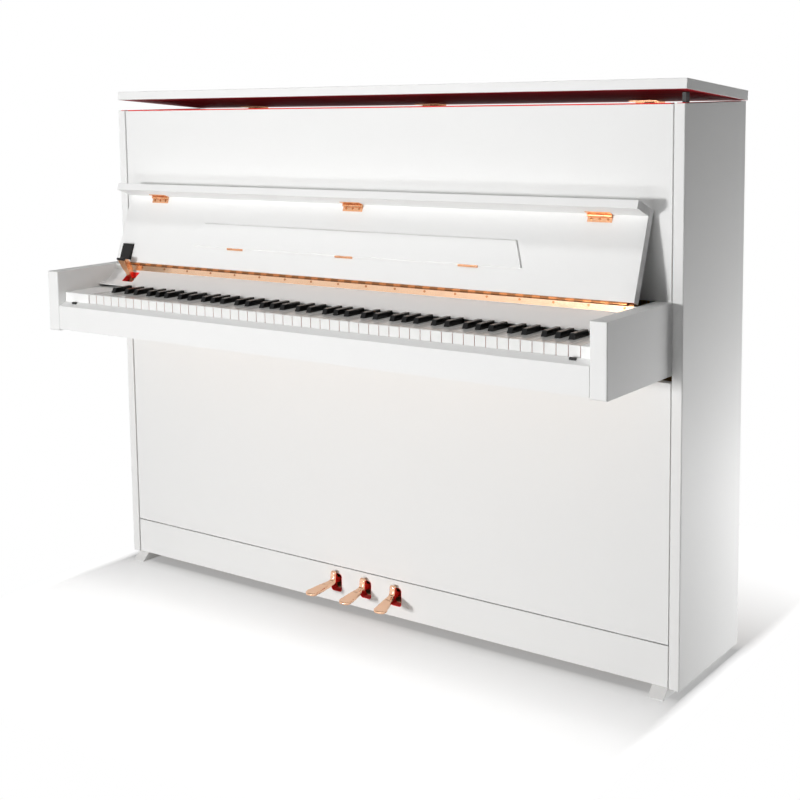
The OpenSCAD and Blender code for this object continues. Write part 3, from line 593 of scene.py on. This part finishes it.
class PIANO_OT_wood_finish(bpy.types.Operator):
    """Bare wood, spruce and the wood and wool of the action"""
    bl_idname = "piano.wood_finish"
    bl_label = "Wood and Felt"

    def execute(self, context):
        finish = context.scene.piano_finish
        wood, spruce = finish.bare_wood, finish.spruce
        paint(["keybed", "bottom_board", "key_frame", "pin_block"],
              wood_material("planed_board", wood, shade(wood, 0.72), (1.5, 26, 26)))
        paint(["back_frame", "bridges_and_ribs", "rod_left", "rod_middle", "rod_right"],
              wood_material("planed_post", wood, shade(wood, 0.7), (26, 26, 1.5)))
        paint(["soundboard"],
              wood_material("soundboard_spruce", spruce, shade(spruce, 0.75), (120, 120, 2.0),
                            rings=3.0, coat=0.3))
        paint(["hammer_row", "damper_row"], hammer_material((0.62, 0.45, 0.27), (0.82, 0.80, 0.74)))
        paint(["red_felts"], felt_material("red_felt", finish.felt))
        paint(["keyslip_bumpers"], black_material("black_rubber", 0.55))
        paint(["soft_close_pad", "soft_close_damper", "lid_prop"], black_material("black_moulding", 0.38))
        return {"FINISHED"}


# ------------------------------------------------------------------ modelling helpers
def edit(obj):
    clear_selection()
    bpy.context.view_layer.objects.active = obj
    obj.select_set(True)
    bpy.ops.object.mode_set(mode="EDIT")
    bpy.ops.mesh.select_all(action="DESELECT")


def leave_edit():
    bpy.ops.object.mode_set(mode="OBJECT")


def pick_faces(obj, test):
    """Selects the faces whose centre and normal pass the test, in edit mode."""
    bpy.ops.object.mode_set(mode="OBJECT")
    hits = 0
    for poly in obj.data.polygons:
        poly.select = bool(test(poly.center, poly.normal))
        hits += poly.select
    bpy.ops.object.mode_set(mode="EDIT")
    if not hits:
        raise RuntimeError("no face of %s passes the test" % obj.name)


def apply_all(obj):
    clear_selection()
    bpy.context.view_layer.objects.active = obj
    obj.select_set(True)
    for mod in list(obj.modifiers):
        bpy.ops.object.modifier_apply(modifier=mod.name)
    bpy.ops.object.transform_apply(location=True, rotation=True, scale=True)


def merged_copy(node):
    """A copy of a construction piece with its triangles merged into whole faces."""
    clear_selection()
    mesh = frame["nodes"][node].data.copy()
    mesh.materials.clear()
    obj = bpy.data.objects.new(node + "_finished", mesh)
    bpy.context.collection.objects.link(obj)
    edit(obj)
    bpy.ops.mesh.select_all(action="SELECT")
    bpy.ops.mesh.remove_doubles(threshold=0.00001)
    bpy.ops.mesh.dissolve_limited(angle_limit=math.radians(0.5))
    bpy.ops.mesh.select_all(action="DESELECT")
    leave_edit()
    return obj


def bevel_edges(obj, width, segments, smooth_up_to=40):
    """Rounds every sharp edge and shades the piece smooth up to an angle in degrees."""
    bevel = obj.modifiers.new("Edge", "BEVEL")
    bevel.width = width
    bevel.segments = segments
    bevel.limit_method = "ANGLE"
    bevel.angle_limit = math.radians(30)
    apply_all(obj)
    bpy.ops.object.shade_smooth_by_angle(angle=math.radians(smooth_up_to))


def round_edges(obj, width, segments=3):
    """Rounds a board's edges and keeps the faces between them flat in the light."""
    bevel_edges(obj, width, segments)
    even = obj.modifiers.new("Even", "WEIGHTED_NORMAL")
    even.keep_sharp = True
    apply_all(obj)


def join_as(name, pieces):
    clear_selection()
    for piece in pieces:
        piece.select_set(True)
    bpy.context.view_layer.objects.active = pieces[0]
    bpy.ops.object.join()
    bpy.context.object.name = name
    return bpy.context.object


def delete_piece(obj):
    clear_selection()
    obj.select_set(True)
    bpy.ops.object.delete()


def stand_for(obj, node, *materials):
    """The finished piece takes over its node's place, body and material slot."""
    for mat in materials:
        obj.data.materials.append(bpy.data.materials[mat])
    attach(obj, BODY_OF[node])
    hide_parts(node)


def board_place(s, n, x=0.0):
    """A point on the open fallboard: s up the board from its hinge line, n out of its face."""
    hinge = Vector(JOINTS["fallboard_turn"]["pos_m"])
    return Vector((x, hinge.y + s * math.sin(BOARD_LEAN) - n * math.cos(BOARD_LEAN),
                   hinge.z + s * math.cos(BOARD_LEAN) + n * math.sin(BOARD_LEAN)))


class PIANO_OT_case_edges(bpy.types.Operator):
    """The case's panels, arms, rails and feet with rounded, polished edges"""
    bl_idname = "piano.case_edges"
    bl_label = "Case Panels"

    def execute(self, context):
        width = context.scene.piano_parts.case_edge
        for node in ("side_left", "side_right", "arm_left", "arm_right", "keyslip", "upper_panel",
                     "lower_panel", "bottom_rail", "key_blocks", "nameboard", "feet"):
            obj = merged_copy(node)
            round_edges(obj, width)
            stand_for(obj, node, "white_lacquer")
        return {"FINISHED"}


class PIANO_OT_fallboard_edges(bpy.types.Operator):
    """The fallboard, its folding lip and the music desk with rounded, polished edges"""
    bl_idname = "piano.fallboard_edges"
    bl_label = "Fallboard"

    def execute(self, context):
        width = context.scene.piano_parts.case_edge
        for node in ("fallboard", "fallboard_lip", "music_desk"):
            obj = merged_copy(node)
            round_edges(obj, width)
            stand_for(obj, node, "white_lacquer")
        return {"FINISHED"}


class PIANO_OT_lid(bpy.types.Operator):
    """The top lid: white and rounded above, stained dark red underneath"""
    bl_idname = "piano.lid"
    bl_label = "Top Lid"

    def execute(self, context):
        obj = merged_copy("top_lid")
        round_edges(obj, context.scene.piano_parts.case_edge * 1.5)
        stand_for(obj, "top_lid", "white_lacquer", "lid_underside")
        edit(obj)
        pick_faces(obj, lambda centre, normal: normal.z < -0.95)
        obj.active_material_index = 1
        bpy.ops.object.material_slot_assign()
        leave_edit()
        return {"FINISHED"}


class PIANO_OT_keys(bpy.types.Operator):
    """White and black keys with softened edges"""
    bl_idname = "piano.keys"
    bl_label = "Key Edges"

    def execute(self, context):
        width = context.scene.piano_parts.key_edge
        for node in ["white_keys", "black_keys"] + single_keys():
            obj = merged_copy(node)
            round_edges(obj, width, segments=2)
            black = node == "black_keys" or "sharp" in node
            stand_for(obj, node, "key_black_gloss" if black else "key_white_cover")
        return {"FINISHED"}


class PIANO_OT_pedals(bpy.types.Operator):
    """Three cast pedals, rounded all over as cast and polished metal is"""
    bl_idname = "piano.pedals"
    bl_label = "Pedals"

    def execute(self, context):
        step = context.scene.piano_parts.pedal_grain
        for node in ("pedal_left", "pedal_middle", "pedal_right"):
            obj = merged_copy(node)
            grid = obj.modifiers.new("Grid", "REMESH")
            grid.mode = "VOXEL"
            grid.voxel_size = step
            smooth = obj.modifiers.new("Round", "SMOOTH")
            smooth.factor = 0.5
            smooth.iterations = 14
            apply_all(obj)
            bpy.ops.object.shade_smooth()
            stand_for(obj, node, "pedal_copper")
        return {"FINISHED"}


class PIANO_OT_screws(bpy.types.Operator):
    """Countersunk slotted screws in the leaves of the lip's hinges"""
    bl_idname = "piano.screws"
    bl_label = "Hinge Screws"

    def make_screw(self, context):
        radius = context.scene.piano_parts.screw_radius
        rim = 0.6 * MM
        crown = 0.15 * MM
        clear_selection()
        bpy.ops.mesh.primitive_cylinder_add(vertices=20, radius=radius, depth=rim, location=(0, 0, rim / 2))
        screw = context.object
        edit(screw)
        pick_faces(screw, lambda centre, normal: normal.z > 0.9)
        bpy.ops.mesh.inset(thickness=radius * 0.22)
        bpy.ops.transform.translate(value=(0, 0, crown))
        leave_edit()
        clear_selection()
        bpy.ops.mesh.primitive_cube_add(size=1, location=(0, 0, 0.7 * MM))
        slot = context.object
        slot.scale = (radius * 2.2, radius * 0.3, 0.6 * MM)
        bpy.ops.object.transform_apply(location=True, rotation=True, scale=True)
        cut = screw.modifiers.new("Slot", "BOOLEAN")
        cut.operation = "DIFFERENCE"
        cut.object = slot
        cut.solver = "EXACT"
        apply_all(screw)
        delete_piece(slot)
        screw.data.materials.append(bpy.data.materials["screw_copper"])
        return screw

    def set_of(self, name, screw, places, body):
        """Copies the screw to every (point, direction, turn) and joins them as one piece."""
        copies = []
        for point, out, turn in places:
            copy = screw.copy()
            copy.data = screw.data.copy()
            bpy.context.collection.objects.link(copy)
            face = Vector(out).to_track_quat("Z", "Y").to_matrix().to_4x4()
            copy.matrix_world = Matrix.Translation(point) @ face @ Matrix.Rotation(turn, 4, "Z")
            apply_all(copy)
            copies.append(copy)
        group = join_as(name, copies)
        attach(group, body)

    def execute(self, context):
        screw = self.make_screw(context)
        out_of_board = Vector((0, -math.cos(BOARD_LEAN), math.sin(BOARD_LEAN)))
        down_board = Vector((0, -math.sin(BOARD_LEAN), -math.cos(BOARD_LEAN)))
        low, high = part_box("lip_hinge_leaves")
        half_hinge = 25 * MM
        hinges = (low.x + half_hinge, 0.0, high.x - half_hinge)
        step = 17 * MM
        on_board, on_lip = [], []
        for x in hinges:
            for i, dx in enumerate((-step, 0, step)):
                board_turn, lip_turn = 0.4 + 0.7 * i, 0.9 + 0.5 * i
                on_board.append((board_place(154.5 * MM, 1.2 * MM, x + dx), out_of_board, board_turn))
                on_lip.append((board_place(162.8 * MM, 11.8 * MM, x + dx), down_board, lip_turn))
        self.set_of("board_hinge_screws", screw, on_board, "fallboard")
        self.set_of("lip_hinge_screws", screw, on_lip, "lip")
        delete_piece(screw)
        return {"FINISHED"}


class PIANO_OT_soft_close_cap(bpy.types.Operator):
    """The black roller cap across the top of the soft-close arm"""
    bl_idname = "piano.soft_close_cap"
    bl_label = "Soft-close Cap"

    def execute(self, context):
        pivot = Vector(JOINTS["soft_close_turn"]["pos_m"])
        arm_lean = math.radians(26.5)
        arm_reach = 64 * MM
        half_width = 10.5 * MM
        top = Vector((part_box("soft_close_arm")[0].x + half_width, pivot.y - arm_reach * math.sin(arm_lean),
                      pivot.z + arm_reach * math.cos(arm_lean)))
        clear_selection()
        bpy.ops.mesh.primitive_cylinder_add(vertices=28, radius=3.2 * MM, depth=22.5 * MM,
                                            location=top, rotation=(0, math.radians(90), 0))
        obj = context.object
        obj.name = "soft_close_cap"
        bpy.ops.object.transform_apply(location=True, rotation=True, scale=True)
        edit(obj)
        pick_faces(obj, lambda centre, normal: abs(normal.x) > 0.9)
        bpy.ops.mesh.inset(thickness=1 * MM)
        bpy.ops.mesh.select_all(action="DESELECT")
        leave_edit()
        bevel_edges(obj, 0.6 * MM, 3, smooth_up_to=35)
        obj.data.materials.append(bpy.data.materials["black_moulding"])
        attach(obj, "soft_close")
        return {"FINISHED"}


class PIANO_OT_bumpers(bpy.types.Operator):
    """Two rounded rubber bumpers the closed lip rests on"""
    bl_idname = "piano.bumpers"
    bl_label = "Rubber Bumpers"

    def execute(self, context):
        low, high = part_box("keyslip_bumpers")
        centre = (low + high) / 2
        half_width = BUMPER_WIDTH / 2
        pieces = []
        for x in (low.x + half_width, high.x - half_width):
            clear_selection()
            bpy.ops.mesh.primitive_cube_add(size=1, location=(x, centre.y, centre.z))
            obj = context.object
            obj.scale = (BUMPER_WIDTH, high.y - low.y, high.z - low.z)
            bpy.ops.object.transform_apply(location=True, rotation=True, scale=True)
            edit(obj)
            pick_faces(obj, lambda centre, normal: normal.z > 0.9)
            bpy.ops.mesh.inset(thickness=1 * MM)
            leave_edit()
            bevel_edges(obj, 1.4 * MM, 4)
            pieces.append(obj)
        obj = join_as("lip_bumpers", pieces)
        obj.data.materials.append(bpy.data.materials["black_rubber"])
        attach(obj, "case")
        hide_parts("keyslip_bumpers")
        return {"FINISHED"}


# ------------------------------------------------------------------ stage
def distance_off_plinth(tree, place, ends):
    """How far a point of the floor lies outside the plinth, counted faster past its two ends."""
    front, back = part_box("bottom_rail")[0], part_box("side_right")[1]
    middle = add_node(tree, "ShaderNodeVectorMath", operation="SUBTRACT")
    middle.inputs[1].default_value = (0, (front.y + back.y) / 2, 0)
    link(tree, place, middle.inputs[0])
    side = add_node(tree, "ShaderNodeVectorMath", operation="ABSOLUTE")
    link(tree, middle.outputs[0], side.inputs[0])
    past = add_node(tree, "ShaderNodeVectorMath", operation="SUBTRACT")
    past.inputs[1].default_value = (back.x, (back.y - front.y) / 2, 0)
    link(tree, side.outputs[0], past.inputs[0])
    outside = add_node(tree, "ShaderNodeVectorMath", operation="MAXIMUM")
    outside.inputs[1].default_value = (0, 0, 0)
    link(tree, past.outputs[0], outside.inputs[0])
    shape = add_node(tree, "ShaderNodeVectorMath", operation="MULTIPLY")
    shape.inputs[1].default_value = (ends, 1, 0)
    link(tree, outside.outputs[0], shape.inputs[0])
    length = add_node(tree, "ShaderNodeVectorMath", operation="LENGTH")
    link(tree, shape.outputs[0], length.inputs[0])
    return length.outputs["Value"]


def seen_directly(tree, *rays):
    """One where a ray of the given kinds arrives, else nought."""
    path = add_node(tree, "ShaderNodeLightPath")
    seen = path.outputs[rays[0]]
    for ray in rays[1:]:
        either = add_node(tree, "ShaderNodeMath", operation="MAXIMUM")
        link(tree, seen, either.inputs[0])
        link(tree, path.outputs[ray], either.inputs[1])
        seen = either.outputs[0]
    return seen


def floor_material(studio):
    """Seen by the camera and in reflections: the lamps' own shadow, plus painted shade round the plinth from
    a glow that is weakest beside it, and white further off; every other ray meets a plain pale floor.
    """
    mat, tree, shader = new_material("studio_floor", (0.9, 0.9, 0.9))
    co = add_node(tree, "ShaderNodeTexCoord")
    noise = add_node(tree, "ShaderNodeTexNoise")
    noise.inputs["Scale"].default_value = 60
    link(tree, co.outputs["Object"], noise.inputs["Vector"])
    tone = add_node(tree, "ShaderNodeMapRange")
    tone.inputs["To Min"].default_value = 0.50
    tone.inputs["To Max"].default_value = 0.52
    link(tree, noise.outputs["Fac"], tone.inputs["Value"])
    link(tree, tone.outputs[0], shader.inputs["Base Color"])
    shader.inputs["Roughness"].default_value = 0.7
    shader.inputs["Specular IOR Level"].default_value = 0.1
    beyond = distance_off_plinth(tree, co.outputs["Object"], studio.floor_ends)
    part = add_node(tree, "ShaderNodeMath", operation="DIVIDE", use_clamp=True)
    part.inputs[1].default_value = studio.floor_reach
    link(tree, beyond, part.inputs[0])
    eased = add_node(tree, "ShaderNodeMath", operation="SQRT")
    link(tree, part.outputs[0], eased.inputs[0])
    # Painted shade: the glow is weakest beside the plinth and grows with distance from it.
    painted_shade_glow = add_node(tree, "ShaderNodeMapRange")
    painted_shade_glow.inputs["To Min"].default_value = studio.floor_near
    painted_shade_glow.inputs["To Max"].default_value = studio.floor_far
    link(tree, eased.outputs[0], painted_shade_glow.inputs["Value"])
    lift = add_node(tree, "ShaderNodeEmission")
    link(tree, painted_shade_glow.outputs[0], lift.inputs["Strength"])
    near = add_node(tree, "ShaderNodeAddShader")
    link(tree, shader.outputs[0], near.inputs[0])
    link(tree, lift.outputs[0], near.inputs[1])
    white = add_node(tree, "ShaderNodeEmission")
    fade = add_node(tree, "ShaderNodeMapRange", interpolation_type="SMOOTHSTEP")
    fade.inputs["From Min"].default_value = studio.floor_reach * 0.6
    fade.inputs["From Max"].default_value = studio.floor_reach * 1.6
    link(tree, beyond, fade.inputs["Value"])
    ground = add_node(tree, "ShaderNodeMixShader")
    link(tree, fade.outputs[0], ground.inputs[0])
    link(tree, near.outputs[0], ground.inputs[1])
    link(tree, white.outputs[0], ground.inputs[2])
    bounce = add_node(tree, "ShaderNodeBsdfDiffuse")
    bounce.inputs["Color"].default_value = (0.8, 0.8, 0.8, 1)
    mix = add_node(tree, "ShaderNodeMixShader")
    link(tree, seen_directly(tree, "Is Camera Ray", "Is Glossy Ray"), mix.inputs[0])
    link(tree, bounce.outputs[0], mix.inputs[1])
    link(tree, ground.outputs[0], mix.inputs[2])
    link(tree, mix.outputs[0], tree.nodes["Material Output"].inputs["Surface"])
    return mat


class PIANO_OT_studio(bpy.types.Operator):
    """Pale floor with painted shade round the plinth, soft light and the camera"""
    bl_idname = "piano.studio"
    bl_label = "Studio"

    def floor(self, context):
        clear_selection()
        bpy.ops.mesh.primitive_plane_add(size=60, location=(0, 0, 0))
        obj = context.object
        obj.name = "studio_floor"
        obj.data.materials.append(floor_material(context.scene.piano_studio))

    def world(self, context):
        """An even, weak light that is seen as white"""
        world = bpy.data.worlds.new("studio_room")
        context.scene.world = world
        world.use_nodes = True
        tree = world.node_tree
        level = add_node(tree, "ShaderNodeMapRange")
        level.inputs["To Min"].default_value = context.scene.piano_studio.ambient
        level.inputs["To Max"].default_value = 1.0
        seen = seen_directly(tree, "Is Camera Ray", "Is Glossy Ray", "Is Transmission Ray")
        link(tree, seen, level.inputs["Value"])
        back = tree.nodes["Background"]
        back.inputs["Color"].default_value = (1, 1, 1, 1)
        link(tree, level.outputs[0], back.inputs["Strength"])

    def lamp(self, context, name, place, aim, size, power):
        clear_selection()
        bpy.ops.object.light_add(type="AREA", location=place)
        lamp = context.object
        lamp.name = name
        lamp.data.shape = "RECTANGLE"
        lamp.data.size, lamp.data.size_y = size
        lamp.data.energy = power
        lamp.rotation_euler = (Vector(aim) - Vector(place)).to_track_quat("-Z", "Y").to_euler()

    def camera(self, context):
        place = Vector((1.72356, -2.33675, 1.12222))
        yaw, pitch, roll = math.radians(37.9), math.radians(-6.68), math.radians(-1.08)
        forward = Vector((-math.sin(yaw) * math.cos(pitch), math.cos(yaw) * math.cos(pitch), math.sin(pitch)))
        side = Vector((math.cos(yaw), math.sin(yaw), 0))
        up = side.cross(forward)
        right = math.cos(roll) * side + math.sin(roll) * up
        head = -math.sin(roll) * side + math.cos(roll) * up
        turn = Matrix((right, head, -forward)).transposed().to_4x4()
        clear_selection()
        bpy.ops.object.camera_add()
        cam = context.object
        cam.name = "studio_camera"
        cam.matrix_world = Matrix.Translation(place) @ turn
        cam.data.sensor_width = 36
        cam.data.lens = context.scene.piano_studio.lens
        cam.data.shift_x = 0.0875
        cam.data.shift_y = -0.175
        cam.data.clip_end = 100
        context.scene.camera = cam

    def execute(self, context):
        studio = context.scene.piano_studio
        self.floor(context)
        self.world(context)
        self.lamp(context, "main_lamp", place=(-1.5, -5.8, 1.05), aim=(0, 0, 0.7),
                  size=(0.6, 0.6), power=studio.main_power)
        self.lamp(context, "keyboard_lamp", place=(0, -0.5, 2.4), aim=(0, -0.2, 0.7),
                  size=(1.7, 0.2), power=studio.keyboard_power)
        self.lamp(context, "fill_lamp", place=(0.3, -2.4, 0.2), aim=(0, 0, 0.25),
                  size=(1.6, 0.2), power=studio.fill_power)
        self.lamp(context, "side_lamp", place=(1.4, 0.95, 0.10), aim=(0.72, 0.15, 0.35),
                  size=(0.8, 0.2), power=studio.side_power)
        self.camera(context)
        context.scene.view_settings.view_transform = "Standard"
        return {"FINISHED"}


# ------------------------------------------------------------------ panel and registration
OPERATORS = [PIANO_OT_case_finish, PIANO_OT_key_finish, PIANO_OT_metal_finish, PIANO_OT_wood_finish,
             PIANO_OT_case_edges, PIANO_OT_fallboard_edges, PIANO_OT_lid, PIANO_OT_keys,
             PIANO_OT_pedals, PIANO_OT_screws, PIANO_OT_soft_close_cap, PIANO_OT_bumpers,
             PIANO_OT_studio]


class PIANO_PT_sidebar(bpy.types.Panel):
    """Lists the piano's steps with their sizes and colours"""
    bl_idname = "PIANO_PT_sidebar"
    bl_label = "Upright Piano"
    bl_space_type = "VIEW_3D"
    bl_region_type = "UI"
    bl_category = "Piano"

    def draw(self, context):
        layout = self.layout
        for owner in (context.scene.piano_finish, context.scene.piano_parts, context.scene.piano_studio):
            box = layout.box()
            for name in owner.__annotations__:
                box.prop(owner, name)
        for operator in OPERATORS:
            layout.operator(operator.bl_idname)


CLASSES = [PianoFinish, PianoParts, PianoStudio, *OPERATORS, PIANO_PT_sidebar]


def register():
    for cls in CLASSES:
        bpy.utils.register_class(cls)
    bpy.types.Scene.piano_finish = bpy.props.PointerProperty(type=PianoFinish)
    bpy.types.Scene.piano_parts = bpy.props.PointerProperty(type=PianoParts)
    bpy.types.Scene.piano_studio = bpy.props.PointerProperty(type=PianoStudio)


def unregister():
    del bpy.types.Scene.piano_studio
    del bpy.types.Scene.piano_parts
    del bpy.types.Scene.piano_finish
    for cls in reversed(CLASSES):
        bpy.utils.unregister_class(cls)


def main():
    register()
    bpy.ops.piano.case_finish()
    bpy.ops.piano.key_finish()
    bpy.ops.piano.metal_finish()
    bpy.ops.piano.wood_finish()
    bpy.ops.piano.case_edges()
    bpy.ops.piano.fallboard_edges()
    bpy.ops.piano.lid()
    bpy.ops.piano.keys()
    bpy.ops.piano.pedals()
    bpy.ops.piano.screws()
    bpy.ops.piano.soft_close_cap()
    bpy.ops.piano.bumpers()
    bpy.ops.piano.studio()


if __name__ == "__main__":
    main()
